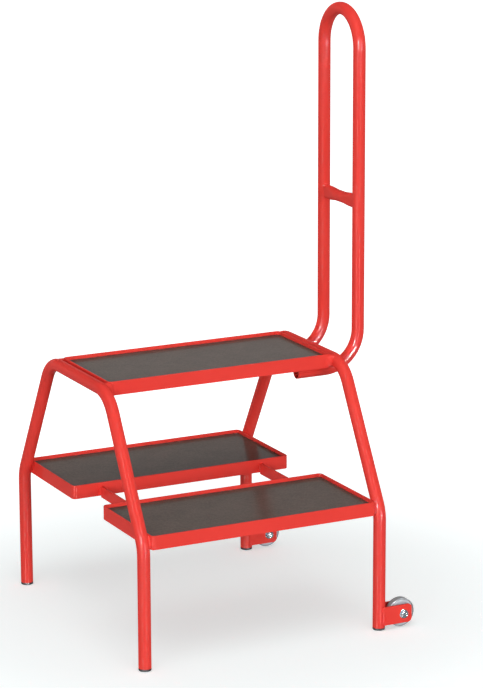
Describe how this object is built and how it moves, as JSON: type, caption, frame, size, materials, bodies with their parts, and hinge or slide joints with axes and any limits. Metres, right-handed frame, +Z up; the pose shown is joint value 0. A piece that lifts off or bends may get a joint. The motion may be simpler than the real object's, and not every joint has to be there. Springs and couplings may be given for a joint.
{
  "type": "mobile steps",
  "caption": "Double-sided mobile steps of red welded tube with boarded treads, a hooped handrail at one end, and small wheels that carry it when it is tipped that way.",
  "frame": {"origin": "on the floor, in the middle of the overall outline", "axes": "+X along the treads towards the handrail and the wheels, +Y from the front tread to the rear tread, +Z up"},
  "size_m": [0.601, 0.6252, 1.1999],
  "materials": {
    "red_coat": "glossy red powder coat on steel",
    "tread_film": "dark film-faced plywood with a fine non-slip mesh pressed in",
    "black_plastic": "moulded",
    "grey_plastic": "moulded",
    "grey_tyre": "smooth grey rubber",
    "zinc_plate": "bright zinc plate"
  },
  "bodies": {
    "frame": {"end_frame_left": "red_coat", "end_frame_right": "red_coat", "top_tread_frame": "red_coat", "top_tread_board": "tread_film", "front_tread_frame": "red_coat", "front_tread_board": "tread_film", "rear_tread_frame": "red_coat", "rear_tread_board": "tread_film", "tie_bar_left": "red_coat", "tie_bar_right": "red_coat", "handrail_hoop": "red_coat", "handrail_crossbar": "red_coat", "foot_cap_front_left": "black_plastic", "foot_cap_front_right": "black_plastic", "foot_cap_rear_left": "black_plastic", "foot_cap_rear_right": "black_plastic", "fork_cheek_front_outer": "red_coat", "fork_cheek_front_inner": "red_coat", "axle_washers_front": "zinc_plate", "axle_bolt_front": "zinc_plate", "axle_nut_front": "zinc_plate", "axle_sleeve_front": "zinc_plate", "fork_cheek_rear_outer": "red_coat", "fork_cheek_rear_inner": "red_coat", "axle_washers_rear": "zinc_plate", "axle_bolt_rear": "zinc_plate", "axle_nut_rear": "zinc_plate", "axle_sleeve_rear": "zinc_plate"},
    "wheel_front": {"wheel_core_front": "grey_plastic", "wheel_tyre_front": "grey_tyre"},
    "wheel_rear": {"wheel_core_rear": "grey_plastic", "wheel_tyre_rear": "grey_tyre"}
  },
  "joints": [
    {"name": "wheel_front_spin", "type": "hinge", "parent": "frame", "child": "wheel_front", "pos_m": [0.2655, -0.289, 0.0295], "axis": [0, 1, 0], "continuous": true},
    {"name": "wheel_rear_spin", "type": "hinge", "parent": "frame", "child": "wheel_rear", "pos_m": [0.2655, 0.289, 0.0295], "axis": [0, 1, 0], "continuous": true}
  ]
}
